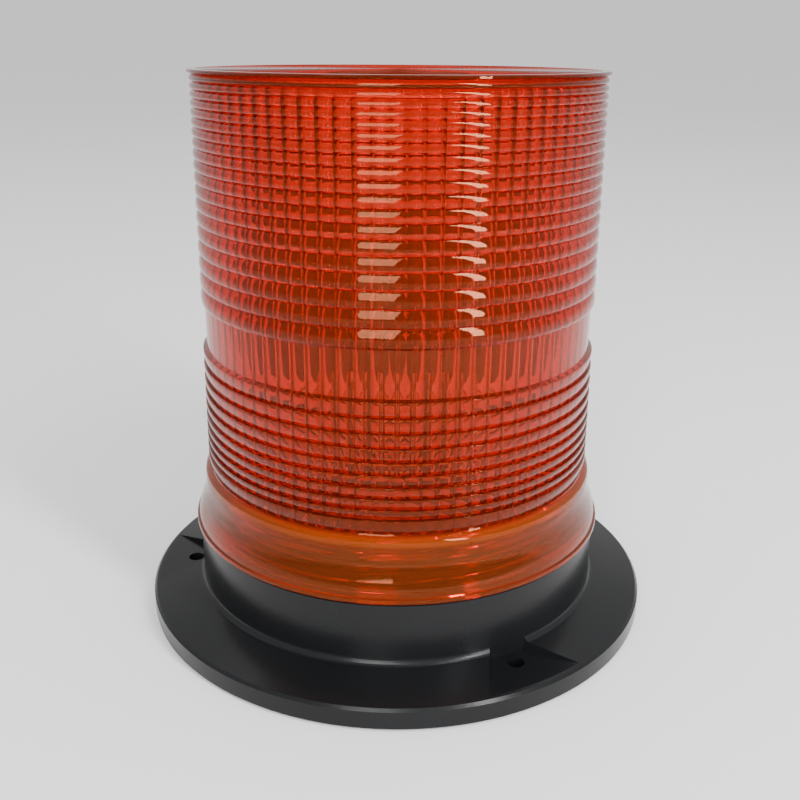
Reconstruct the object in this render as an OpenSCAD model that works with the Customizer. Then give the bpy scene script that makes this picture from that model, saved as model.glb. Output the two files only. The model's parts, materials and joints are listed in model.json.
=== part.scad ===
// Amber warning beacon: a screw-on lens over a lamp with a motor-driven rotating reflector.
// Z is up, the origin is at the centre of the flange's underside and -Y is the front.

/* [Base] */
// Outer radius of the mounting flange
flange_r = 82.5; // [80:0.5:86]
// Height of the flange at its rim
flange_rim_h = 7; // [6:0.5:8]
// Height of the flange where it meets the collar
flange_root_h = 9.5; // [9:0.5:11]
// Outer radius of the collar under the lens
collar_r = 65.7; // [65.2:0.1:66.2]
// Height of the collar's top face
collar_h = 29.5; // [29.2:0.1:29.6]
// Outer radius of the threaded neck, without its thread
neck_r = 57.6; // [57.2:0.1:57.7]
// Height of the neck's top rim
neck_h = 45.5; // [44.8:0.1:45.8]
// Wall thickness of the base moulding
base_wall = 2.8; // [2.4:0.1:3.2]
// Thickness of the base floor
floor_h = 4; // [3:0.5:5]

/* [Mounting holes] */
// Diameter of the circle through the mounting holes
bolt_pcd = 140; // [138:1:142]
// Radius of a mounting hole
bolt_hole_r = 2.6; // [2.1:0.1:2.8]
// Number of mounting holes
bolt_count = 3; // [3:1:3]
// Radius of the cable hole in the grommet
cable_hole_r = 3; // [2.5:0.5:3.5]

/* [Lens] */
// Height of the top of the lens rim
lens_rim_h = 169.4; // [168:0.2:171]
// Rise of the nearly flat top above the rim
crown_rise = 0.2; // [0.1:0.1:1]
// Outer radius of the ringed wall just under the rim
lens_top_r = 60.6; // [60.3:0.1:60.9]
// Outer radius of the ringed wall at its lower end
lens_low_r = 61.9; // [61.6:0.1:62.2]
// Inner radius of the lens
lens_in_r = 58.2; // [57.8:0.1:58.4]
// Radius of the plain band at lamp height
band_r = 60.2; // [60:0.1:60.4]
// Height of the lower edge of the plain band
band_low_z = 88; // [87:0.5:89]
// Height of the upper edge of the plain band
band_high_z = 102; // [101:0.5:102.5]
// Depth of each outer ring
ring_depth = 0.8; // [0.5:0.1:1]
// Number of rings above the plain band
upper_rings = 18; // [12:1:18]
// Number of rings below the plain band
lower_rings = 9; // [6:1:9]
// Height ratio of each ring to the one nearer the plain band
ring_ratio = 0.948; // [0.94:0.002:0.95]

/* [Lens thread] */
// Rise of the lens thread in one turn
thread_pitch = 4.75; // [4.6:0.05:4.9]

/* [Drive] */
// Module of the gear teeth
gear_module = 0.8; // [0.8:0.1:0.8]
// Teeth on the turntable gear
gear_teeth = 60; // [60:6:60]
// Teeth on the motor pinion
pinion_teeth = 12; // [12:1:12]
// Radius of the motor can
motor_r = 12; // [11.5:0.1:12.3]

/* [Reflector] */
// Focal length of the parabolic reflector
focal = 14; // [13:0.5:15]
// Radius of the reflector's open rim
reflector_r = 34; // [31:1:35]
// Half of the reflector's height
reflector_half_h = 24; // [22:1:24]
// Height of the lamp filament and of the reflector's axis
lamp_z = 97; // [96:0.5:98]

/* [Hidden] */

$fn = 96;
eps = 0.01;

// Base
collar_core_r = collar_r - 3;
neck_in_r = neck_r - base_wall;
core_top_z = collar_h - 3;
foot_fillet = 2;
seat_z = flange_rim_h + 0.15;
pocket_in_r = 64;
pocket_in_half = 5.2;
pocket_out_half = 18.8;
first_bolt_angle = 180;

// Screw posts that carry the chassis plate
post_count = 3;
post_first_angle = 30;
post_pcr = 46;
post_r = 4;
chassis_z = 38;
chassis_t = 3;
chassis_top = chassis_z + chassis_t;
chassis_r = 51;

// Screws, by thread size: shank radius, head radius and head height
m3 = [1.5, 2.9, 1.9];
m25 = [1.25, 2.3, 1.6];
m2 = [1.0, 1.9, 1.3];
fit_gap = 0.05;

// Grommet in the floor
grommet_pos = [26, -15];
grommet_r = 6;
grommet_flange_r = 8;

// Lamp post and the parts stacked on it
post_tube_r = 7;
post_bore_r = 4.2;
post_flange_r = 12.5;
post_flange_t = 2.5;
post_flange_top = chassis_top + post_flange_t;
post_top = 66;
post_screw_pcr = 10;
hub_bore_gap = 0.06;
washer_t = 0.8;
hub_r = 10.5;
hub_low = post_flange_top + washer_t + 0.2;
gear_low = 46;
gear_high = 51;
table_r = 22;
table_top = 54;
ring_groove_z = table_top + 0.3;
ring_groove_t = 1;
ring_groove_r = 6.2;

// Lamp holder and lamp
holder_r = 9.5;
holder_low = 62;
holder_top = 72;
socket_r = 5.3;
cap_disc_r = 8.8;
cap_disc_t = 1.2;
cap_neck_r = 5.2;
ferrule_r = 5.6;
ferrule_top = 77;
glass_r = 5;
glass_wall = 0.8;
glass_straight_top = 106;
clip_t = 0.8;
clip_arm_r = holder_r + 0.15;

// Gears
gear_pitch_r = gear_module * gear_teeth / 2;
pinion_pitch_r = gear_module * pinion_teeth / 2;
centre_distance = gear_pitch_r + pinion_pitch_r;
pressure_angle = 25;
tooth_thinning = 0.14;
flank_steps = 5;
pinion_low = 45.2;
pinion_high = 52;

// Motor, hung under the chassis plate
motor_angle = 210;
motor_low = 13;
motor_cap_low = 10.5;
motor_wall = 1;
motor_face_t = 1.5;
motor_boss_r = 3;
motor_boss_top = chassis_z + 1.5;
motor_screw_pcr = 8;
shaft_r = 1;
shaft_gap = 0.03;
shaft_top = 53;
armature_r = 8.2;
magnet_in_r = 9;
terminal_gap = 5;

// Reflector
reflector_angle = 90;
reflector_t = 1.6;
reflector_steps = 16;
reflector_lip = 2;
cheek_t = 2.4;
cheek_y = 5;
foot_back = -24;
foot_front = -11.5;
foot_half = 14;
foot_t = 3;
foot_screw = [-16, 10.5];
lamp_clear_r = 12.5;
lamp_clear_top = 79;

// Terminal block and leads
block_pos = [0, 30];
block_size = [26, 13, 13];
block_ways = 3;
lead_r = 0.9;
lead_sides = 8;

// Lens
lens_low = collar_h + 0.3;
gasket_low = collar_h + 0.1;
gasket_t = 1.8;
gasket_in_r = neck_r + 2.2;
gasket_out_r = 62.3;
lens_bore_r = 60.4;
lens_ledge_z = gasket_low + gasket_t + 0.2;
lens_shoulder_z = neck_h + 0.8;
rim_r = lens_top_r + 0.6;
rim_t = 2;
lens_wall = 2.4;
upper_first = 5.4;
lower_first = 4.7;
riser = 0.2;

// Thread ribs
rib_crest_w = 1.5;
rib_root_w = 2.1;
base_rib_crest = neck_r + 1.8;
lens_rib_crest = lens_bore_r - 2.2;
lens_rib_z = 33.8;
lens_rib_turns = 2;
base_rib_z = lens_rib_z + thread_pitch / 2;
base_rib_turns = 1.55;
ribs_per_turn = 20;
rib_gap_angle = 3;

// ---- Shared shapes ----

// Copies its children to each of n places spaced evenly round a circle
module around(n, radius, first = 0) {
    for (i = [0:n - 1])
        rotate([0, 0, first + i * 360 / n])
            translate([radius, 0, 0])
                children();
}

module at_motor() {
    rotate([0, 0, motor_angle])
        translate([centre_distance, 0, 0])
            children();
}

module tube(outer, inner, low, high) {
    translate([0, 0, low])
        difference() {
            cylinder(r = outer, h = high - low);
            translate([0, 0, -eps])
                cylinder(r = inner, h = high - low + 2 * eps);
        }
}

// Pan-head screw with a cross recess, whose head sits on z = 0 and whose shank points down
module screw(size, length) {
    shank = size[0];
    head = size[1];
    head_h = size[2];
    difference() {
        union() {
            translate([0, 0, -length])
                cylinder(r = shank, h = length + eps, $fn = 32);
            cylinder(r1 = head, r2 = head * 0.8, h = head_h, $fn = 32);
        }
        for (turn = [0, 90])
            rotate([0, 0, turn])
                translate([-head * 0.55, -head * 0.11, head_h * 0.45])
                    cube([head * 1.1, head * 0.22, head_h]);
    }
}

// Interrupted thread: short ribs that climb a helix, from radius root, inside the wall, to crest
module thread_ribs(root, crest, z0, turns) {
    count = floor(turns * ribs_per_turn);
    arc = 360 / ribs_per_turn - rib_gap_angle;
    for (i = [0:count - 1])
        translate([0, 0, z0 + thread_pitch * i / ribs_per_turn])
            rotate([0, 0, i * 360 / ribs_per_turn])
                rotate_extrude(angle = arc)
                    polygon([
                        [root, -rib_root_w / 2],
                        [root, rib_root_w / 2],
                        [crest, rib_crest_w / 2],
                        [crest, -rib_crest_w / 2]
                    ]);
}

// Tube swept along points that lie in one upright plane; side is the plane's unit normal
module lead(path, side) {
    n = len(path) - 1;
    rings = [
        for (i = [0:n])
            let (
                back = path[max(i - 1, 0)],
                ahead = path[min(i + 1, n)],
                along = (ahead - back) / norm(ahead - back),
                across = cross(along, side)
            )
                for (k = [0:lead_sides - 1])
                    let (a = 360 * k / lead_sides)
                        path[i] + lead_r * (cos(a) * side + sin(a) * across)
    ];
    walls = [
        for (i = [0:n - 1]) for (k = [0:lead_sides - 1])
            let (
                a = lead_sides * i + k,
                b = lead_sides * i + (k + 1) % lead_sides
            )
                each [[a, b, b + lead_sides], [a, b + lead_sides, a + lead_sides]]
    ];
    first = [for (k = [lead_sides - 1:-1:0]) k];
    last = [for (k = [0:lead_sides - 1]) lead_sides * n + k];
    polyhedron(rings, concat(walls, [first, last]));
}

// Smooth route from a to d with handles b and c
function bend(a, b, c, d, steps) = [
    for (i = [0:steps])
        let (t = i / steps, s = 1 - t)
            s * s * s * a + 3 * s * s * t * b + 3 * s * t * t * c + t * t * t * d
];

// ---- Base ----

// Section of the base moulding, cored out under the collar
module base_section() {
    polygon([
        [0, 0],
        [neck_r, 0],
        [neck_r, core_top_z],
        [collar_core_r, core_top_z],
        [collar_core_r, 0],
        [flange_r - 0.8, 0],
        [flange_r, 0.8],
        [flange_r, flange_rim_h - 0.8],
        [flange_r - 0.8, flange_rim_h],
        for (a = [0:15:90])
            [
                collar_r + foot_fillet * (1 - sin(a)),
                flange_root_h + foot_fillet * (1 - cos(a))
            ],
        [collar_r, collar_h - 0.6],
        [collar_r - 0.6, collar_h],
        [neck_r, collar_h],
        [neck_r, neck_h - 0.5],
        [neck_r - 0.5, neck_h],
        [neck_in_r, neck_h],
        [neck_in_r, floor_h],
        [0, floor_h]
    ]);
}

// Bolt hole and the flat seat that fans out from the collar to the rim
module bolt_cut() {
    difference() {
        translate([0, 0, seat_z])
            linear_extrude(flange_root_h)
                polygon([
                    [pocket_in_r, -pocket_in_half],
                    [flange_r + 1, -pocket_out_half],
                    [flange_r + 1, pocket_out_half],
                    [pocket_in_r, pocket_in_half]
                ]);
        cylinder(r = collar_r, h = collar_h);
    }
    translate([bolt_pcd / 2, 0, -1])
        cylinder(r = bolt_hole_r, h = collar_h);
}

module core_ribs() {
    around(12, 0, 15)
        translate([neck_r - 0.5, -0.9, 0])
            cube([collar_core_r - neck_r + 1, 1.8, core_top_z + 0.5]);
}

module screw_posts() {
    around(post_count, post_pcr, post_first_angle)
        translate([0, 0, floor_h - eps])
            difference() {
                union() {
                    cylinder(r = post_r, h = chassis_z - floor_h + eps);
                    for (turn = [0:90:270])
                        rotate([0, 0, turn])
                            translate([post_r - 1, -0.75, 0])
                                cube([3, 1.5, 20]);
                }
                translate([0, 0, chassis_z - floor_h - 14])
                    cylinder(r = m3[0] + fit_gap, h = 15, $fn = 32);
            }
}

module base() {
    color([0.13, 0.13, 0.14])
        difference() {
            union() {
                difference() {
                    rotate_extrude()
                        base_section();
                    around(bolt_count, 0, first_bolt_angle)
                        bolt_cut();
                }
                core_ribs();
                screw_posts();
                thread_ribs(neck_r - 0.6, base_rib_crest, base_rib_z, base_rib_turns);
            }
            translate([grommet_pos[0], grommet_pos[1], -eps])
                cylinder(r = grommet_r + fit_gap, h = floor_h + 1);
        }
}

// Rubber bush that snaps into the floor; its bore takes the supply cable
module cable_grommet() {
    color([0.09, 0.09, 0.09])
        translate([grommet_pos[0], grommet_pos[1], 0])
            rotate_extrude()
                polygon([
                    [cable_hole_r, 1],
                    [grommet_r, 1],
                    [grommet_r, floor_h],
                    [grommet_flange_r, floor_h],
                    [grommet_flange_r, floor_h + 1.4],
                    [grommet_flange_r - 1.2, floor_h + 2.4],
                    [cable_hole_r + 1.6, floor_h + 5],
                    [cable_hole_r, floor_h + 5]
                ]);
}

// ---- Chassis ----

// Round plate with a stiffening rim, screwed down on the posts
module chassis_plate() {
    color([0.16, 0.16, 0.17])
        difference() {
            union() {
                translate([0, 0, chassis_z])
                    cylinder(r = chassis_r, h = chassis_t);
                tube(chassis_r, chassis_r - 1.8, chassis_z, chassis_top + 2);
            }
            translate([0, 0, chassis_z - eps])
                cylinder(r = post_tube_r + fit_gap, h = chassis_t + 1);
            around(post_count, post_pcr, post_first_angle)
                translate([0, 0, chassis_z - eps])
                    cylinder(r = m3[0] + 0.2, h = chassis_t + 1, $fn = 32);
            around(2, post_screw_pcr)
                translate([0, 0, chassis_z - eps])
                    cylinder(r = m25[0] + fit_gap, h = chassis_t + 1, $fn = 32);
            at_motor() {
                translate([0, 0, chassis_z - eps])
                    cylinder(r = motor_boss_r + 0.1, h = chassis_t + 1);
                around(2, motor_screw_pcr, 90)
                    translate([0, 0, chassis_z - eps])
                        cylinder(r = m2[0] + 0.1, h = chassis_t + 1, $fn = 32);
            }
            // Slot that lets the leads be reached from above
            translate([-9, 26, chassis_z - eps])
                cube([18, 8, chassis_t + 1]);
        }
}

module chassis_screws() {
    color("silver")
        around(post_count, post_pcr, post_first_angle)
            translate([0, 0, chassis_top])
                screw(m3, 12);
}

// ---- Lamp post ----

module lamp_post() {
    color([0.75, 0.76, 0.78])
        difference() {
            union() {
                translate([0, 0, chassis_z - 2])
                    cylinder(r = post_tube_r, h = post_top - chassis_z + 2);
                translate([0, 0, chassis_top])
                    cylinder(r = post_flange_r, h = post_flange_t);
            }
            translate([0, 0, chassis_z - 3])
                cylinder(r = post_bore_r, h = post_top);
            tube(post_tube_r + 1, ring_groove_r, ring_groove_z, ring_groove_z + ring_groove_t);
            around(2, post_screw_pcr)
                translate([0, 0, chassis_top - eps])
                    cylinder(r = m25[0] + 0.1, h = post_flange_t + 1, $fn = 32);
        }
}

// Countersunk level with the flange, so that the washer above stays clear
module post_screws() {
    color("silver")
        around(2, post_screw_pcr)
            translate([0, 0, chassis_z - 1.2])
                cylinder(r = m25[0], h = post_flange_top - chassis_z + 1.2, $fn = 32);
}

module thrust_washer() {
    color("white")
        tube(post_flange_r - 0.5, post_tube_r + 0.1, post_flange_top, post_flange_top + washer_t);
}

// Open spring ring in the post's groove
module retaining_ring() {
    color([0.3, 0.3, 0.32])
        difference() {
            tube(9.4, ring_groove_r + 0.05, ring_groove_z + 0.1, ring_groove_z + ring_groove_t - 0.1);
            translate([0, -2, ring_groove_z - 1])
                cube([12, 4, 3]);
        }
}

// ---- Lamp ----

module lamp_holder() {
    color([0.85, 0.83, 0.76])
        difference() {
            translate([0, 0, holder_low])
                cylinder(r = holder_r, h = holder_top - holder_low);
            translate([0, 0, holder_low - 1])
                cylinder(r = post_tube_r + fit_gap, h = post_top - holder_low + 1.2);
            translate([0, 0, holder_low])
                cylinder(r = socket_r, h = holder_top);
        }
}

// Insulated centre contact pressed in below the lamp
module lamp_contact() {
    color("goldenrod")
        translate([0, 0, post_top + 0.3]) {
            cylinder(r = 3.4, h = 1);
            translate([0, 0, 1 - eps])
                cylinder(r1 = 1.6, r2 = 1, h = 1.2);
        }
}

module lamp_cap() {
    color([0.8, 0.79, 0.76])
        union() {
            translate([0, 0, holder_top - 3])
                cylinder(r = cap_neck_r, h = 3 + eps);
            translate([0, 0, holder_top])
                difference() {
                    cylinder(r = cap_disc_r, h = cap_disc_t);
                    translate([cap_disc_r + 0.6, 0, -1])
                        cylinder(r = 2, h = 4, $fn = 32);
                }
            translate([0, 0, holder_top])
                cylinder(r = ferrule_r, h = ferrule_top - 3 - holder_top);
            tube(ferrule_r, glass_r + 0.02, ferrule_top - 3 - eps, ferrule_top);
        }
}

module lamp_glass() {
    low = ferrule_top - 3;
    color([0.9, 0.95, 1, 0.4])
        difference() {
            union() {
                translate([0, 0, low])
                    cylinder(r = glass_r, h = glass_straight_top - low);
                translate([0, 0, glass_straight_top])
                    sphere(r = glass_r);
                translate([0, 0, glass_straight_top + glass_r - 0.6])
                    cylinder(r1 = 1.1, r2 = 0.4, h = 2, $fn = 32);
            }
            translate([0, 0, low + 4])
                cylinder(r = glass_r - glass_wall, h = glass_straight_top - low - 4);
            translate([0, 0, glass_straight_top])
                sphere(r = glass_r - glass_wall);
        }
}

// Coil on two stems that rise from the pinch of the glass
module lamp_filament() {
    stem_low = ferrule_top + 1.2;
    color("dimgray") {
        translate([0, 0, lamp_z - 2.5])
            cylinder(r = 0.7, h = 5, $fn = 32);
        translate([0, 0, stem_low])
            cylinder(r = 0.3, h = lamp_z - 2.5 - stem_low + eps, $fn = 24);
        translate([2.2, 0, stem_low])
            cylinder(r = 0.3, h = lamp_z + 3.2 - stem_low, $fn = 24);
        translate([-0.3, -0.3, lamp_z + 2.5 - eps])
            cube([2.8, 0.6, 0.6]);
    }
}

// Spring clip over the lamp's disc, hooked under the holder
module lamp_clip() {
    ring_z = holder_top + cap_disc_t;
    color([0.7, 0.7, 0.72])
        union() {
            tube(clip_arm_r + clip_t, ferrule_r + 0.5, ring_z, ring_z + clip_t);
            for (turn = [90, 270])
                rotate([0, 0, turn]) {
                    translate([clip_arm_r, -2, holder_low - clip_t])
                        cube([clip_t, 4, ring_z - holder_low + clip_t + eps]);
                    translate([post_tube_r + 1, -2, holder_low - clip_t])
                        cube([clip_arm_r - post_tube_r - 1 + eps, 4, clip_t]);
                }
        }
}

// ---- Gears ----

function involute(alpha) = tan(alpha) - alpha * PI / 180;

// Half of a tooth's angle at radius r, in degrees
function half_tooth(pitch_r, r) =
    let (
        base_r = pitch_r * cos(pressure_angle),
        alpha = r > base_r ? acos(base_r / r) : 0,
        half_pitch = (PI * gear_module / 2 - tooth_thinning) / (2 * pitch_r)
    ) (half_pitch + involute(pressure_angle) - involute(alpha)) * 180 / PI;

// Involute spur gear outline with a tooth centred on the X axis
module gear_outline(teeth) {
    pitch_r = gear_module * teeth / 2;
    root = pitch_r - 1.25 * gear_module;
    tip = pitch_r + 0.9 * gear_module;
    radii = [for (i = [0:flank_steps]) root + (tip - root) * i / flank_steps];
    polygon([
        for (t = [0:teeth - 1])
            each concat(
                [for (r = radii) polar(r, 360 * t / teeth - half_tooth(pitch_r, r))],
                [for (i = [flank_steps:-1:0])
                    polar(radii[i], 360 * t / teeth + half_tooth(pitch_r, radii[i]))]
            )
    ]);
}

function polar(r, angle) = [r * cos(angle), r * sin(angle)];

module turntable_gear() {
    color([0.9, 0.89, 0.84])
        difference() {
            union() {
                translate([0, 0, gear_low])
                    linear_extrude(gear_high - gear_low)
                        gear_outline(gear_teeth);
                translate([0, 0, hub_low])
                    cylinder(r = hub_r, h = table_top - hub_low);
                translate([0, 0, gear_high - eps])
                    cylinder(r = table_r, h = table_top - gear_high + eps);
            }
            translate([0, 0, hub_low - 1])
                cylinder(r = post_tube_r + hub_bore_gap, h = table_top);
            rotate([0, 0, reflector_angle])
                for (side = [-1, 1])
                    translate([foot_screw[0], side * foot_screw[1], gear_low - 1])
                        cylinder(r = m3[0] + fit_gap, h = table_top, $fn = 32);
            // Lightening pockets from below
            around(6, 16, 30)
                translate([0, 0, gear_low - 1])
                    cylinder(r = 3.2, h = 4);
        }
}

module motor_pinion() {
    color([0.86, 0.85, 0.8])
        at_motor()
            difference() {
                translate([0, 0, pinion_low])
                    linear_extrude(pinion_high - pinion_low)
                        rotate([0, 0, 180 / pinion_teeth - motor_angle])
                            gear_outline(pinion_teeth);
                translate([0, 0, pinion_low - 1])
                    cylinder(r = shaft_r + 0.02, h = pinion_high, $fn = 32);
            }
}

// ---- Reflector ----

function dish_x(r) = r * r / (4 * focal) - focal;
function dish_slope(r) = atan(r / (2 * focal));
function dish_point(r, out) =
    [r + out * sin(dish_slope(r)), dish_x(r) - out * cos(dish_slope(r))];

// Half section of the dish wall, axis along Y
module dish_section() {
    inner = [for (i = [0:reflector_steps]) dish_point(reflector_r * i / reflector_steps, 0)];
    outer = [
        for (i = [reflector_steps:-1:0])
            dish_point(reflector_r * i / reflector_steps, reflector_t)
    ];
    rim = dish_x(reflector_r);
    lip = [
        [reflector_r + reflector_lip + reflector_t, rim],
        [reflector_r + reflector_lip + reflector_t, rim - reflector_t]
    ];
    polygon(concat(inner, lip, [[outer[0][0], rim - reflector_t]], [for (i = [1:len(outer) - 1]) outer[i]]));
}

// Everything inside the dish, used to trim the cheeks flush with its back
module dish_hollow() {
    rotate_extrude()
        polygon(concat(
            [for (i = [0:reflector_steps]) dish_point(reflector_r * i / reflector_steps, 0.6)],
            [[reflector_r, 40], [0, 40]]
        ));
}

module aim() {
    rotate([0, 0, reflector_angle])
        children();
}

module dish_frame() {
    translate([0, 0, lamp_z])
        rotate([90, 0, 90])
            children();
}

module reflector() {
    reach = reflector_r + 10;
    color([0.82, 0.83, 0.85])
        aim()
            difference() {
                union() {
                    intersection() {
                        dish_frame()
                            rotate_extrude()
                                dish_section();
                        translate([-reach, -reach, lamp_z - reflector_half_h])
                            cube([2 * reach, 2 * reach, 2 * reflector_half_h]);
                    }
                    difference() {
                        for (side = [-1, 1])
                            translate([foot_back, side * cheek_y - cheek_t / 2, table_top + 0.02])
                                cube([20, cheek_t, lamp_z - table_top]);
                        dish_frame()
                            dish_hollow();
                    }
                    translate([foot_back, -foot_half, table_top + 0.02])
                        cube([foot_front - foot_back, 2 * foot_half, foot_t]);
                }
                translate([0, 0, table_top - 1])
                    cylinder(r = lamp_clear_r, h = lamp_clear_top - table_top + 1);
                for (side = [-1, 1])
                    translate([foot_screw[0], side * foot_screw[1], table_top - 1])
                        cylinder(r = m3[0] + 0.1, h = foot_t + 2, $fn = 32);
            }
}

module reflector_screws() {
    color("silver")
        aim()
            for (side = [-1, 1])
                translate([foot_screw[0], side * foot_screw[1], table_top + foot_t + 0.02])
                    screw(m3, 9);
}

// ---- Motor ----

module motor_can() {
    color([0.72, 0.73, 0.75])
        at_motor()
            difference() {
                union() {
                    translate([0, 0, motor_low])
                        cylinder(r = motor_r, h = chassis_z - motor_low);
                    translate([0, 0, chassis_z - eps])
                        cylinder(r = motor_boss_r, h = motor_boss_top - chassis_z);
                }
                translate([0, 0, motor_low - 1])
                    cylinder(r = motor_r - motor_wall, h = chassis_z - motor_face_t - motor_low + 1);
                translate([0, 0, motor_low])
                    cylinder(r = shaft_r + shaft_gap, h = chassis_z, $fn = 48);
                around(2, motor_screw_pcr, 90)
                    translate([0, 0, chassis_z - 3])
                        cylinder(r = m2[0] + fit_gap, h = 4, $fn = 32);
            }
}

module motor_magnets() {
    low = motor_low + 4;
    high = chassis_z - motor_face_t - 4;
    color([0.25, 0.25, 0.26])
        at_motor()
            difference() {
                tube(motor_r - motor_wall - 0.05, magnet_in_r, low, high);
                translate([-2.5, -motor_r, low - 1])
                    cube([5, 2 * motor_r, high - low + 2]);
            }
}

module motor_end_cap() {
    color([0.2, 0.2, 0.2])
        at_motor()
            difference() {
                union() {
                    translate([0, 0, motor_cap_low])
                        cylinder(r = motor_r - 0.4, h = motor_low - motor_cap_low);
                    translate([0, 0, motor_low - eps])
                        cylinder(r = motor_r - motor_wall - 0.1, h = 1.2);
                }
                translate([0, 0, motor_cap_low - 1])
                    cylinder(r = shaft_r + shaft_gap, h = 6, $fn = 48);
            }
}

module motor_terminals() {
    color("goldenrod")
        at_motor()
            for (side = [-1, 1])
                translate([-0.3, side * terminal_gap - 1.2, motor_cap_low - 4.4])
                    difference() {
                        cube([0.6, 2.4, 4.4]);
                        translate([-1, 1.2, 1.4])
                            rotate([0, 90, 0])
                                cylinder(r = 0.6, h = 3, $fn = 24);
                    }
}

module suppressor_capacitor() {
    color([0.75, 0.45, 0.15])
        at_motor()
            translate([-0.9, 0, motor_cap_low - 3.1])
                rotate([0, 90, 0])
                    cylinder(r = 2.4, h = 1.8, $fn = 48);
}

module motor_shaft() {
    color([0.8, 0.8, 0.82])
        at_motor()
            translate([0, 0, motor_cap_low + 0.5])
                cylinder(r = shaft_r, h = shaft_top - motor_cap_low - 0.5, $fn = 48);
}

module motor_armature() {
    low = motor_low + 3.5;
    high = chassis_z - motor_face_t - 3.5;
    color([0.55, 0.3, 0.15])
        at_motor()
            difference() {
                union() {
                    translate([0, 0, low])
                        cylinder(r = armature_r, h = high - low);
                    translate([0, 0, low - 1.8])
                        cylinder(r = 2.6, h = 2);
                }
                translate([0, 0, low - 3])
                    cylinder(r = shaft_r + 0.02, h = high, $fn = 48);
                for (turn = [0:120:240])
                    rotate([0, 0, turn])
                        translate([4, -0.8, low - 1])
                            cube([6, 1.6, high - low + 2]);
            }
}

module motor_screws() {
    color("silver")
        at_motor()
            around(2, motor_screw_pcr, 90)
                translate([0, 0, chassis_top])
                    screw(m2, 5);
}

// ---- Wiring ----

module terminal_block() {
    pitch = block_size[0] / block_ways;
    color([0.88, 0.86, 0.8])
        translate([block_pos[0], block_pos[1], floor_h])
            difference() {
                union() {
                    translate([-block_size[0] / 2, -block_size[1] / 2, 0])
                        cube([block_size[0], block_size[1], block_size[2] - 3]);
                    for (i = [0:block_ways - 1])
                        translate([(i - 1) * pitch, 0, 0])
                            cylinder(r = 3.6, h = block_size[2]);
                }
                for (i = [0:block_ways - 1]) {
                    translate([(i - 1) * pitch, 0, block_size[2] - 6])
                        cylinder(r = 2.2, h = 7);
                    translate([(i - 1) * pitch, -block_size[1], 4.5])
                        rotate([-90, 0, 0])
                            cylinder(r = 1.5, h = 2 * block_size[1], $fn = 32);
                }
            }
}

module terminal_screws() {
    pitch = block_size[0] / block_ways;
    color([0.8, 0.7, 0.4])
        translate([block_pos[0], block_pos[1], floor_h + block_size[2] - 5.9])
            for (i = [0:block_ways - 1])
                translate([(i - 1) * pitch, 0, 0])
                    difference() {
                        cylinder(r = 2.15, h = 4, $fn = 32);
                        translate([-3, -0.35, 3])
                            cube([6, 0.7, 2]);
                    }
}

// Two leads from the terminal block up through the lamp post to the lamp
module lamp_leads() {
    block_face = block_pos[1] - block_size[1] / 2;
    color("firebrick")
        for (x = [-block_size[0] / block_ways, 0])
            let (
                start = [x, block_face + 1.5, floor_h + 4.5],
                throat = [x / 4.4, 0, chassis_z - 4]
            )
                lead(
                    concat(
                        bend(start, start - [0, 16, 0], throat - [0, 0, 18], throat, 14),
                        [for (z = [chassis_z:4:post_top]) [x / 4.4, 0, z - 1]]
                    ),
                    lead_side(start, throat)
                );
}

function lead_side(start, end) =
    let (run = [end[0] - start[0], end[1] - start[1], 0])
        cross([0, 0, 1], run) / norm(run);

// Two leads from the terminal block to the tags under the motor
module motor_leads() {
    pitch = block_size[0] / block_ways;
    block_face = block_pos[1] - block_size[1] / 2;
    color([0.1, 0.1, 0.12])
        for (k = [0, 1])
            let (
                tag = motor_tag(2 * k - 1),
                start = [(k - 1) * pitch, block_face - 0.4, floor_h + 1.6],
                end = [tag[0], tag[1], motor_cap_low - 5.4]
            )
                lead(
                    bend(start, start + [0, -8, 0], end + [0, 8, -0.1], end, 12),
                    lead_side(start, end)
                );
}

function motor_tag(side) = [
    centre_distance * cos(motor_angle) - side * terminal_gap * sin(motor_angle),
    centre_distance * sin(motor_angle) + side * terminal_gap * cos(motor_angle)
];

// ---- Lens ----

module lens_gasket() {
    color([0.12, 0.12, 0.12])
        tube(gasket_out_r, gasket_in_r, gasket_low, gasket_low + gasket_t);
}

// Height of ring i's near edge above or below the plain band
function ring_edge(first, i) = first * (1 - pow(ring_ratio, i)) / (1 - ring_ratio);

// Outer radius of the ringed wall at height z
function wall_r(z) =
    let (t = (z - band_low_z) / (lens_rim_h - band_low_z))
        z > band_high_z
            ? lens_low_r - 0.5 + (lens_top_r - lens_low_r + 0.5) * t
            : lens_low_r - 0.4 + 0.4 * (band_low_z - z) / 35;

// Rings above the band, thickest at their lower edge, from the top down
function upper_outline() = [
    for (i = [upper_rings - 1:-1:0])
        let (
            low = band_high_z + ring_edge(upper_first, i),
            high = band_high_z + ring_edge(upper_first, i + 1)
        )
            each [[wall_r(high) - ring_depth, high], [wall_r(low), low + riser]]
];

// Rings below the band, thickest at their upper edge, from the top down
function lower_outline() = [
    for (i = [0:lower_rings - 1])
        let (
            high = band_low_z - ring_edge(lower_first, i),
            low = band_low_z - ring_edge(lower_first, i + 1)
        )
            each [[wall_r(high), high - riser], [wall_r(low) - ring_depth, low]]
];

// Points of a shallow dome from radius r at height z to the axis
function dome(r, z, rise, steps) = [
    for (i = [0:steps])
        let (t = i / steps) [r * (1 - t), z + rise * (1 - (1 - t) * (1 - t))]
];

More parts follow.
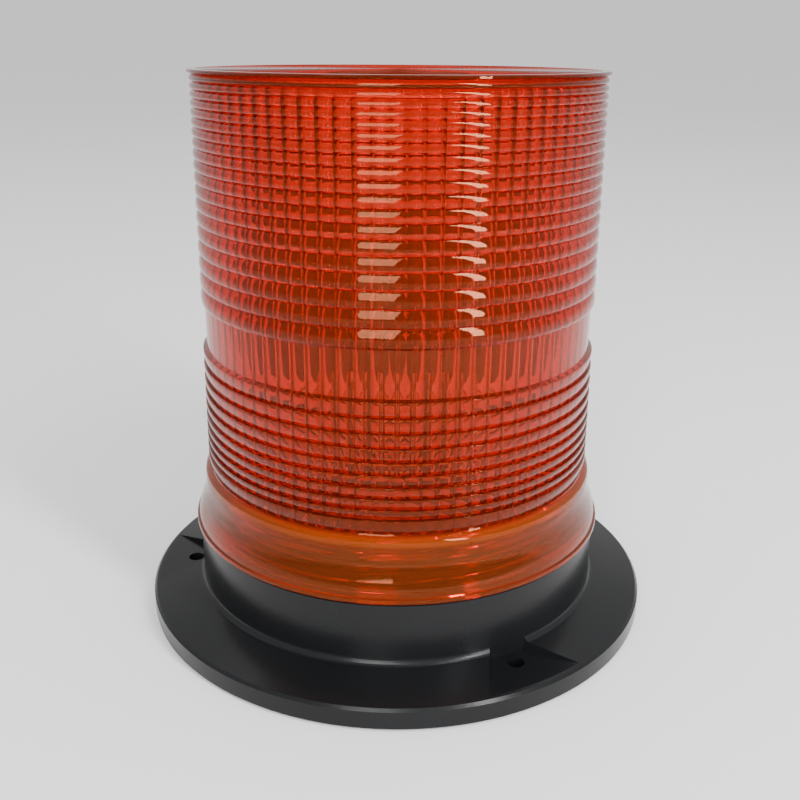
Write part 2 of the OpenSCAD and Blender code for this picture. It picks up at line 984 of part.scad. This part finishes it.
module lens_section() {
    inner_dome_z = lens_rim_h - lens_wall - 0.6;
    dome_out = dome(rim_r - 0.7, lens_rim_h, crown_rise, 6);
    dome_in = dome(lens_in_r - 2, inner_dome_z, crown_rise, 6);
    skirt = [
        [lens_low_r, band_low_z - ring_edge(lower_first, lower_rings) - 0.4],
        [lens_low_r, 48.2],
        [63.1, 46.8],
        [63.2, 43.5],
        [63.7, 40.5],
        [64.7, 37],
        [65.8, 34.4],
        [66.2, 31.6],
        [66.8, 31.2],
        [66.8, lens_low + 0.3],
        [66.5, lens_low]
    ];
    inside = [
        [62.6, lens_low],
        [62.6, lens_ledge_z],
        [lens_bore_r, lens_ledge_z],
        [lens_bore_r, lens_shoulder_z],
        [lens_in_r, lens_shoulder_z],
        [lens_in_r, inner_dome_z - 2]
    ];
    polygon(concat(
        [for (i = [len(dome_out) - 1:-1:0]) dome_out[i]],
        [
            [rim_r, lens_rim_h - 0.7],
            [rim_r, lens_rim_h - rim_t],
            [rim_r - 0.5, lens_rim_h - rim_t - 0.4]
        ],
        upper_outline(),
        [[band_r, band_high_z], [band_r, band_low_z]],
        lower_outline(),
        skirt,
        inside,
        dome_in
    ));
}

module lens() {
    color([0.95, 0.35, 0.02, 0.6])
        union() {
            rotate_extrude()
                lens_section();
            thread_ribs(lens_bore_r + 0.6, lens_rib_crest, lens_rib_z, lens_rib_turns);
        }
}

base();
cable_grommet();
chassis_plate();
chassis_screws();
lamp_post();
post_screws();
thrust_washer();
retaining_ring();
lamp_holder();
lamp_contact();
lamp_cap();
lamp_glass();
lamp_filament();
lamp_clip();
turntable_gear();
reflector();
reflector_screws();
motor_can();
motor_magnets();
motor_end_cap();
motor_terminals();
suppressor_capacitor();
motor_shaft();
motor_armature();
motor_pinion();
motor_screws();
terminal_block();
terminal_screws();
lamp_leads();
motor_leads();
lens_gasket();
lens();
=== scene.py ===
"""Looks of the amber rotating beacon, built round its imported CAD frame.

Everything is in metres in the CAD frame: Z up, -Y to the front. The lens is remade here as one
refractive moulding, and its own sizes are written in millimetres and scaled by MM.
"""
import json
import math

import bpy
import numpy as np
from mathutils import Matrix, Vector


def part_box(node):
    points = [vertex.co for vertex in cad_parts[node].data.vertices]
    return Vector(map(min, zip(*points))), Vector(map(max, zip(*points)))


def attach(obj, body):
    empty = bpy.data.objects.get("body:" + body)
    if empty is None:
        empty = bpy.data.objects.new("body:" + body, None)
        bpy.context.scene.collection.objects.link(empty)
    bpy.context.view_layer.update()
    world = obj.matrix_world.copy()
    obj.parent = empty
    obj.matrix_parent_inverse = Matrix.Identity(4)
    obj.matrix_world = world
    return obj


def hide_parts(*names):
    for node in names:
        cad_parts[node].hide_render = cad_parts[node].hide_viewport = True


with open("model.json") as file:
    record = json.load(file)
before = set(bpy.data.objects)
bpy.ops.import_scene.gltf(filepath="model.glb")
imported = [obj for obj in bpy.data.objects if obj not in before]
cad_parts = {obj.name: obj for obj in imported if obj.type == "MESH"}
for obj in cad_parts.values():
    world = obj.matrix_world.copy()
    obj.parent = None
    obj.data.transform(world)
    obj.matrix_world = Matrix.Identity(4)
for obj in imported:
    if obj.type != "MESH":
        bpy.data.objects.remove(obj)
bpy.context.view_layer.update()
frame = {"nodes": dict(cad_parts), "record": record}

MM = 0.001
SHARP_ANGLE = 28

# Corners of the CAD boxes, in metres
LENS_LOW, LENS_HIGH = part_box("lens")
BASE_LOW, BASE_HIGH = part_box("base")

# ---- Lens sizes, in millimetres: radii from the axis, heights from the foot ----

# Top: nearly flat, with fine concentric ridges, and a thin lip round it
CROWN_RISE = 0.2
LENS_RIM = LENS_HIGH.z / MM - CROWN_RISE
RIM_R = 61.2
TOP_FLAT_R = 58.8
TOP_RIDGES = 49
TOP_RIDGE_DEPTH = 0.6
TOP_WALL = 2.6

# Wall: rings above and below a plain band. Away from the band each is RING_RATIO of the last
UPPER_FOOT_R, UPPER_HEAD_R = 61.4, 60.6
LOWER_HEAD_R, LOWER_SPREAD, LOWER_TALL = 61.5, 0.4, 35
BAND_R = 60.2
BAND_LOW, BAND_HIGH = 88.0, 102.0
RING_DEPTH = 0.9
RING_RATIO = 0.948
UPPER_RINGS, UPPER_FIRST = 19, 5.4
LOWER_RINGS, LOWER_FIRST = 9, 4.7
LEDGE_TOP = 48.9

# A ring's section from its upper edge down: share of its height, share of its depth
UPPER_OUTLINE = [(0.0, 1.0), (0.08, 0.7), (0.18, 0.43), (0.3, 0.21), (0.44, 0.06), (0.6, 0.0)]
UPPER_OUTLINE += [(0.75, 0.07), (0.87, 0.3), (0.95, 0.65)]
LOWER_OUTLINE = [(0.015, 0.3), (0.05, 0.08), (0.12, 0.0), (0.25, 0.06), (0.4, 0.17), (0.55, 0.32)]
LOWER_OUTLINE += [(0.7, 0.51), (0.85, 0.74), (1.0, 1.0)]

# Skirt: a rounded ledge, then a flare down to the collar, as radius and height
SKIRT_LOW = LENS_LOW.z / MM
SKIRT_R = 66.8
SKIRT_OUTSIDE = [(61.2, 48.5), (62.2, 48.1), (63.0, 47.2), (63.2, 46.3), (63.2, 43.5)]
SKIRT_OUTSIDE += [(63.4, 41.8), (63.8, 40.0), (64.4, 38.0), (65.1, 36.0), (65.7, 34.2)]
SKIRT_OUTSIDE += [(66.0, 32.8), (66.1, 31.7), (66.7, 31.3), (SKIRT_R, 31.0)]

# Bore: a seat at the mouth, the threaded part, a shoulder, and the fluted inside
MOUTH_R, MOUTH_TOP = 62.6, 31.6
BORE_R = 60.4
SHOULDER = 46.3
INSIDE_R = 58.2
FLUTES = 78
FLUTE_DEPTH = 1.0
FLUTE_FULL_FROM, FLUTE_FULL_TO = 49.6, 162.5
THREAD_PITCH = 4.75
THREAD_START = 33.8
THREAD_LOW, THREAD_HIGH = 32.6, 45.0
THREAD_RUN_OUT = 1.2
THREAD_DEPTH = 2.2
THREAD_HALF_FOOT, THREAD_FLANK = 1.125, 1.2

# ---- Amber plastic ----

# Share of light let through by the skirt, the ledge over it and the wall, and their tints. The
# lower shares on the skirt and the ledge, and the skirt's yellower tint, are a painted glow of
# light shining through the plastic: painted glow on the skirt, a painted bright line on the ledge
SKIRT_SHARE_FOR_PAINTED_GLOW, LEDGE_SHARE_FOR_PAINTED_GLOW, CLEAR_WALL = 0.955, 0.88, 0.96
SKIRT_PAINTED_GLOW_TINT, TINT_WALL = (1.0, 0.16, 0.006), (1.0, 0.07, 0.001)

# Heights of the changes, in metres, and where the ledge lies between the first pair
CLEAR_FROM, CLEAR_TO = 0.044, 0.052
LEDGE_STOPS = (0.2, 0.26, 0.54, 0.6)
# Heights, in metres, over which the skirt's painted glow tint fades into the wall's tint
PAINTED_GLOW_FADE_LOW, PAINTED_GLOW_FADE_HIGH = 0.0478, 0.0488

# The colour that a thickness of plastic still passes
PASSED_COLOUR, ABSORB_DENSITY = (0.9, 0.56, 0.0, 1), 900

# ---- Camera and stage ----

# Distances in flange radii, angles in degrees, lens and sensor in millimetres
CAMERA_BACK, CAMERA_UP = 3.606, 2.135
CAMERA_PITCH, CAMERA_YAW, CAMERA_ROLL = 69.7, -0.17, 0.4
CAMERA_FOCAL, CAMERA_SENSOR = 43.3, 36

# In metres; the floor lies just under the foot so that the two faces never coincide
FLOOR_HALF, FLOOR_DROP = 40, 0.0002
AIM_HEIGHT = 0.09
WORLD_AT_HORIZON, WORLD_OVERHEAD = 0.88, 1.06

# Softboxes: azimuth in degrees, then height, distance, width and length in metres, then watts
SOFTBOXES = {
    "strip_right": (43, 0.6, 0.9, 0.13, 1.1, 15),
    "broad_front": (-11, 0.62, 1.1, 0.42, 1.0, 15),
    "overhead": (180, 1.5, 0.5, 1.2, 1.2, 4),
}


# ---- Mesh helpers ----

def new_object(name, vertices, faces):
    """A smooth-shaded mesh object whose edges sharper than SHARP_ANGLE degrees stay sharp."""
    mesh = bpy.data.meshes.new(name)
    mesh.from_pydata(vertices, [], faces)
    mesh.update()
    mesh.shade_smooth()
    mesh.set_sharp_from_angle(angle=math.radians(SHARP_ANGLE))
    thing = bpy.data.objects.new(name, mesh)
    bpy.context.scene.collection.objects.link(thing)
    return thing


def revolve(name, rows, columns):
    """A closed skin between two points on the axis.

    rows is a list of (radius, height) pairs in millimetres, where either may be an array with one
    value per column. The first and last rows are on the axis.
    """
    angles = np.arange(columns) * 2 * math.pi / columns
    vertices = [(0, 0, rows[0][1] * MM)]
    for radius, height in rows[1:-1]:
        r = np.broadcast_to(radius, columns) * MM
        z = np.broadcast_to(height, columns) * MM
        vertices += list(zip(r * np.cos(angles), r * np.sin(angles), z))
    vertices.append((0, 0, rows[-1][1] * MM))
    faces = []
    last = len(vertices) - 1
    count = len(rows) - 2
    for j in range(columns):
        k = (j + 1) % columns
        faces.append((0, 1 + j, 1 + k))
        for i in range(count - 1):
            a = 1 + i * columns
            b = a + columns
            faces.append((a + j, b + j, b + k, a + k))
        end = 1 + (count - 1) * columns
        faces.append((end + j, last, end + k))
    return new_object(name, vertices, faces)


# ---- Lens ----

def ring_edge(first, i):
    """Distance from the band to the near edge of ring i, when the nearest is first tall."""
    return first * (1 - RING_RATIO ** i) / (1 - RING_RATIO)


def wall_r(z):
    """Outer radius of the ringed wall at the crests."""
    if z > BAND_HIGH - 1:
        t = (z - BAND_LOW) / (LENS_RIM - BAND_LOW)
        return UPPER_FOOT_R + (UPPER_HEAD_R - UPPER_FOOT_R) * t
    return LOWER_HEAD_R + LOWER_SPREAD * (BAND_LOW - z) / LOWER_TALL


def ring(low, high, outline):
    """The points of one ring between two heights, from its upper edge down."""
    return [(wall_r(high + (low - high) * t) - RING_DEPTH * dip, high + (low - high) * t)
            for t, dip in outline]


def lens_outside():
    """The outer skin from the middle of the top to the foot of the skirt."""
    rows = [(0, LENS_RIM)]
    for k in range(1, TOP_RIDGES * 2):
        dip = TOP_RIDGE_DEPTH if k % 2 else 0
        rows.append((TOP_FLAT_R * k / (TOP_RIDGES * 2), LENS_RIM - dip))
    rows += [(TOP_FLAT_R, LENS_RIM), (RIM_R - 0.3, LENS_RIM), (RIM_R, LENS_RIM - 0.3)]
    rows += [(RIM_R, LENS_RIM - 0.8), (RIM_R - 0.5, LENS_RIM - 1.1)]
    for i in reversed(range(UPPER_RINGS)):
        low = BAND_HIGH + ring_edge(UPPER_FIRST, i)
        high = BAND_HIGH + ring_edge(UPPER_FIRST, i + 1)
        rows += ring(low, high, UPPER_OUTLINE)
    rows += [(BAND_R, BAND_HIGH - 0.2), (BAND_R, 95), (BAND_R, BAND_LOW + 0.4)]
    for i in range(LOWER_RINGS):
        high = BAND_LOW - ring_edge(LOWER_FIRST, i)
        low = BAND_LOW - ring_edge(LOWER_FIRST, i + 1)
        rows += ring(low, high, LOWER_OUTLINE)
    rows += ring(LEDGE_TOP, low - 0.1, LOWER_OUTLINE)
    return rows + SKIRT_OUTSIDE + [(SKIRT_R, SKIRT_LOW + 0.4), (SKIRT_R - 0.3, SKIRT_LOW)]


def thread_rise(z, angles):
    """How far the helical rib stands into the bore at height z."""
    turn = (z - THREAD_START) / THREAD_PITCH - angles / (2 * math.pi)
    offset = (turn - np.round(turn)) * THREAD_PITCH
    rib = np.clip((THREAD_HALF_FOOT - np.abs(offset)) * THREAD_FLANK, 0, 1)
    run_in = np.clip((z - THREAD_LOW) / THREAD_RUN_OUT, 0, 1)
    run_out = np.clip((THREAD_HIGH - z) / THREAD_RUN_OUT, 0, 1)
    return THREAD_DEPTH * rib * run_in * run_out


def lens_inside(columns):
    """The inner skin from the foot of the skirt back to the axis: thread, flutes and flat top."""
    angles = np.arange(columns) * 2 * math.pi / columns
    bulge = 1 - np.abs(np.sin(angles * FLUTES / 2))
    rows = [(MOUTH_R, SKIRT_LOW), (MOUTH_R, MOUTH_TOP), (BORE_R, MOUTH_TOP)]
    for z in np.arange(32.0, 45.6, 0.45):
        rows.append((BORE_R - thread_rise(z, angles), z))
    rows += [(BORE_R, SHOULDER - 0.4), (BORE_R, SHOULDER), (INSIDE_R, SHOULDER), (INSIDE_R, 48.2)]
    rows.append((INSIDE_R - FLUTE_DEPTH * bulge * 0.6, 48.8))
    for z in (FLUTE_FULL_FROM, 70, 90, 110, 130, 150, FLUTE_FULL_TO):
        rows.append((INSIDE_R - FLUTE_DEPTH * bulge, z))
    top = LENS_RIM - TOP_WALL
    rows += [(INSIDE_R - 0.6 - 0.5 * bulge, 164.6), (INSIDE_R - 1.6, top - 0.9)]
    for t in (1, 0.8, 0.6, 0.4, 0.2, 0):
        rows.append(((INSIDE_R - 2.6) * t, top + CROWN_RISE * (1 - t * t)))
    return rows


def make_lens():
    columns = FLUTES * 8
    lens = revolve("lens_moulding", lens_outside() + lens_inside(columns), columns)
    lens.data.materials.append(amber_plastic())
    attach(lens, "lens_cover")
    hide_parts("lens")


# ---- Materials ----

def material(name, **inputs):
    """A Principled material, its tree and its shader, with fixed values set on the sockets."""
    made = bpy.data.materials.new(name)
    made.use_nodes = True
    shader = made.node_tree.nodes["Principled BSDF"]
    for key, value in inputs.items():
        shader.inputs[key.replace("_", " ")].default_value = value
    return made, made.node_tree, shader


def add_noise(tree, scale, detail=4.0):
    coordinates = tree.nodes.new("ShaderNodeTexCoord")
    noise = tree.nodes.new("ShaderNodeTexNoise")
    noise.inputs["Scale"].default_value = scale
    noise.inputs["Detail"].default_value = detail
    tree.links.new(coordinates.outputs["Object"], noise.inputs["Vector"])
    return noise.outputs["Fac"]


def add_range(tree, value, low, high, start=0.0, end=1.0):
    mapped = tree.nodes.new("ShaderNodeMapRange")
    mapped.inputs["From Min"].default_value = start
    mapped.inputs["From Max"].default_value = end
    mapped.inputs["To Min"].default_value = low
    mapped.inputs["To Max"].default_value = high
    tree.links.new(value, mapped.inputs["Value"])
    return mapped.outputs["Result"]


def add_mix(tree, value, first, second):
    mixed = tree.nodes.new("ShaderNodeMix")
    mixed.data_type = "RGBA"
    mixed.inputs["A"].default_value = (*first, 1)
    mixed.inputs["B"].default_value = (*second, 1)
    tree.links.new(value, mixed.inputs["Factor"])
    return mixed.outputs["Result"]


def add_bump(tree, shader, height, strength, distance):
    bump = tree.nodes.new("ShaderNodeBump")
    bump.inputs["Strength"].default_value = strength
    bump.inputs["Distance"].default_value = distance
    tree.links.new(height, bump.inputs["Height"])
    tree.links.new(bump.outputs["Normal"], shader.inputs["Normal"])


def amber_plastic():
    """Clear amber with absorption in its thickness; the skirt and the ledge over it let less
    through and show more of a yellower base colour, a painted glow of light shining through the
    plastic.
    """
    made, tree, shader = material(
        "amber_lens", IOR=1.5, Specular_IOR_Level=0.25, Specular_Tint=(1.0, 0.4, 0.2, 1)
    )
    haze = add_noise(tree, 60)
    tree.links.new(add_range(tree, haze, 0.015, 0.05), shader.inputs["Roughness"])
    place = tree.nodes.new("ShaderNodeTexCoord")
    split = tree.nodes.new("ShaderNodeSeparateXYZ")
    tree.links.new(place.outputs["Object"], split.inputs["Vector"])
    # Below this height the base colour is yellower: painted glow of light shining through the
    # skirt
    above_skirt = add_range(tree, split.outputs["Z"], 0, 1, PAINTED_GLOW_FADE_LOW, PAINTED_GLOW_FADE_HIGH)
    # Less light let through on the skirt and the ledge shows more base colour: painted glow, and a
    # painted bright line along the ledge
    clear = tree.nodes.new("ShaderNodeValToRGB")
    stops = clear.color_ramp.elements
    skirt_end, ledge_start, ledge_end, wall_start = LEDGE_STOPS
    stops[0].position, stops[0].color = skirt_end, (SKIRT_SHARE_FOR_PAINTED_GLOW, SKIRT_SHARE_FOR_PAINTED_GLOW, SKIRT_SHARE_FOR_PAINTED_GLOW, 1)
    stops[1].position, stops[1].color = wall_start, (CLEAR_WALL, CLEAR_WALL, CLEAR_WALL, 1)
    for position in (ledge_start, ledge_end):
        stops.new(position).color = (LEDGE_SHARE_FOR_PAINTED_GLOW, LEDGE_SHARE_FOR_PAINTED_GLOW, LEDGE_SHARE_FOR_PAINTED_GLOW, 1)
    height = add_range(tree, split.outputs["Z"], 0, 1, CLEAR_FROM, CLEAR_TO)
    tree.links.new(height, clear.inputs["Fac"])
    tree.links.new(clear.outputs["Color"], shader.inputs["Transmission Weight"])
    tint_and_painted_glow = add_mix(tree, above_skirt, SKIRT_PAINTED_GLOW_TINT, TINT_WALL)
    tree.links.new(tint_and_painted_glow, shader.inputs["Base Color"])
    absorb = tree.nodes.new("ShaderNodeVolumeAbsorption")
    absorb.inputs["Color"].default_value = PASSED_COLOUR
    absorb.inputs["Density"].default_value = ABSORB_DENSITY
    output = tree.nodes["Material Output"]
    tree.links.new(absorb.outputs["Volume"], output.inputs["Volume"])
    return made


def satin_plastic(name, dark, light, roughness, specular=0.5):
    """Moulded plastic or rubber: slow drifts of tone and gloss, and a fine moulded grain."""
    made, tree, shader = material(name, Specular_IOR_Level=specular)
    cloud = add_noise(tree, 25)
    tree.links.new(add_mix(tree, cloud, dark, light), shader.inputs["Base Color"])
    gloss = add_range(tree, cloud, roughness - 0.05, roughness + 0.07)
    tree.links.new(gloss, shader.inputs["Roughness"])
    add_bump(tree, shader, add_noise(tree, 900, 2), 0.25, 0.0001)
    return made


def metal(name, colour, roughness):
    made, tree, shader = material(name, Metallic=1.0)
    smear = add_noise(tree, 180)
    darker = tuple(c * 0.85 for c in colour)
    tree.links.new(add_mix(tree, smear, darker, colour), shader.inputs["Base Color"])
    gloss = add_range(tree, smear, roughness * 0.7, roughness * 1.3)
    tree.links.new(gloss, shader.inputs["Roughness"])
    return made


def clear_glass():
    made, tree, shader = material("lamp_glass", IOR=1.47, Transmission_Weight=1.0, Roughness=0.0)
    smear = add_noise(tree, 90)
    tree.links.new(add_mix(tree, smear, (0.97, 0.98, 1.0), (1, 1, 1)), shader.inputs["Base Color"])
    return made


# Slot: darker tone, lighter tone, roughness
PLASTICS = {
    "black_rubber": ((0.01, 0.01, 0.01), (0.02, 0.02, 0.02), 0.7),
    "black_inner_plastic": ((0.012, 0.012, 0.013), (0.02, 0.02, 0.022), 0.5),
    "white_nylon": ((0.72, 0.72, 0.69), (0.8, 0.8, 0.77), 0.4),
    "cream_thermoset": ((0.6, 0.55, 0.44), (0.68, 0.63, 0.52), 0.45),
    "natural_acetal": ((0.7, 0.69, 0.63), (0.8, 0.79, 0.74), 0.35),
    "capacitor_coating": ((0.5, 0.22, 0.05), (0.6, 0.3, 0.08), 0.3),
    "red_insulation": ((0.35, 0.01, 0.01), (0.45, 0.02, 0.015), 0.4),
    "black_insulation": ((0.012, 0.012, 0.012), (0.02, 0.02, 0.02), 0.4),
    "ferrite": ((0.03, 0.03, 0.03), (0.05, 0.05, 0.05), 0.6),
}

# Slot: colour, roughness
METALS = {
    "zinc_steel": ((0.62, 0.62, 0.6), 0.3),
    "turned_aluminium": ((0.75, 0.76, 0.78), 0.28),
    "spring_steel": ((0.5, 0.5, 0.5), 0.25),
    "contact_brass": ((0.75, 0.55, 0.25), 0.3),
    "lamp_cap_metal": ((0.66, 0.65, 0.62), 0.3),
    "tungsten": ((0.2, 0.2, 0.21), 0.4),
    "reflector_chrome": ((0.88, 0.89, 0.9), 0.06),
    "motor_steel": ((0.6, 0.61, 0.62), 0.3),
    "shaft_steel": ((0.7, 0.7, 0.71), 0.2),
    "armature_copper": ((0.6, 0.3, 0.14), 0.35),
}


def dress_nodes():
    """Gives every CAD node but the remade lens its material, by the record's slot."""
    finishes = {slot: satin_plastic(slot, *look) for slot, look in PLASTICS.items()}
    finishes.update((slot, metal(slot, *look)) for slot, look in METALS.items())
    finishes["lamp_glass"] = clear_glass()
    finishes["black_moulding"] = satin_plastic(
        "black_moulding", (0.0045, 0.0048, 0.0053), (0.008, 0.0084, 0.009), 0.22, specular=0.2
    )
    for part in frame["record"]["subparts"]:
        if part["node"] == "lens":
            continue
        mesh = frame["nodes"][part["node"]].data
        mesh.materials.clear()
        mesh.materials.append(finishes[part["material_slot"]])
    shade_reflector_back(finishes["black_inner_plastic"])


def shade_reflector_back(dark):
    """Keeps the bright plating on the face that looks at the lamp; the rest is bare moulding."""
    mesh = frame["nodes"]["reflector"].data
    mesh.materials.append(dark)
    for polygon in mesh.polygons:
        polygon.material_index = 0 if polygon.normal.y > 0.2 else 1


# ---- Stage ----

def make_camera():
    """The photograph's viewpoint, in flange radii from the foot of the beacon's axis."""
    flange_r = BASE_HIGH.x
    data = bpy.data.cameras.new("camera")
    data.lens = CAMERA_FOCAL
    data.sensor_width = CAMERA_SENSOR
    camera = bpy.data.objects.new("camera", data)
    camera.location = (0, -CAMERA_BACK * flange_r, CAMERA_UP * flange_r)
    yaw = Matrix.Rotation(math.radians(CAMERA_YAW), 3, "Z")
    pitch = Matrix.Rotation(math.radians(CAMERA_PITCH), 3, "X")
    roll = Matrix.Rotation(math.radians(CAMERA_ROLL), 3, "Z")
    camera.rotation_euler = (yaw @ pitch @ roll).to_euler()
    bpy.context.scene.collection.objects.link(camera)
    bpy.context.scene.camera = camera


def softbox(name, azimuth, height, distance, width, length, watts):
    """An area light that faces the middle of the beacon; azimuth 0 is the front, 90 is +X."""
    data = bpy.data.lights.new(name, "AREA")
    data.shape = "RECTANGLE"
    data.size = width
    data.size_y = length
    data.energy = watts
    light = bpy.data.objects.new(name, data)
    a = math.radians(azimuth)
    light.location = (distance * math.sin(a), -distance * math.cos(a), height)
    aim = Vector((0, 0, AIM_HEIGHT)) - light.location
    light.rotation_euler = aim.to_track_quat("-Z", "Y").to_euler()
    bpy.context.scene.collection.objects.link(light)


def make_stage():
    """An even pale studio, a little brighter overhead, with a wide paper floor and softboxes."""
    world = bpy.data.worlds.new("studio")
    bpy.context.scene.world = world
    world.use_nodes = True
    tree = world.node_tree
    coordinates = tree.nodes.new("ShaderNodeTexCoord")
    split = tree.nodes.new("ShaderNodeSeparateXYZ")
    tree.links.new(coordinates.outputs["Generated"], split.inputs["Vector"])
    fade = add_range(tree, split.outputs["Z"], WORLD_AT_HORIZON, WORLD_OVERHEAD)
    tree.links.new(fade, tree.nodes["Background"].inputs["Strength"])
    tree.nodes["Background"].inputs["Color"].default_value = (1, 1, 1, 1)
    half = FLOOR_HALF
    corners = [(-half, -half, 0), (half, -half, 0), (half, half, 0), (-half, half, 0)]
    floor = new_object("floor", corners, [(0, 1, 2, 3)])
    floor.location.z = BASE_LOW.z - FLOOR_DROP
    made, tree, shader = material("floor_paper", Roughness=0.8)
    tone = add_mix(tree, add_noise(tree, 3), (0.86, 0.86, 0.86), (0.9, 0.9, 0.9))
    tree.links.new(tone, shader.inputs["Base Color"])
    floor.data.materials.append(made)
    for name, place in SOFTBOXES.items():
        softbox(name, *place)


make_camera()
make_stage()
make_lens()
dress_nodes()
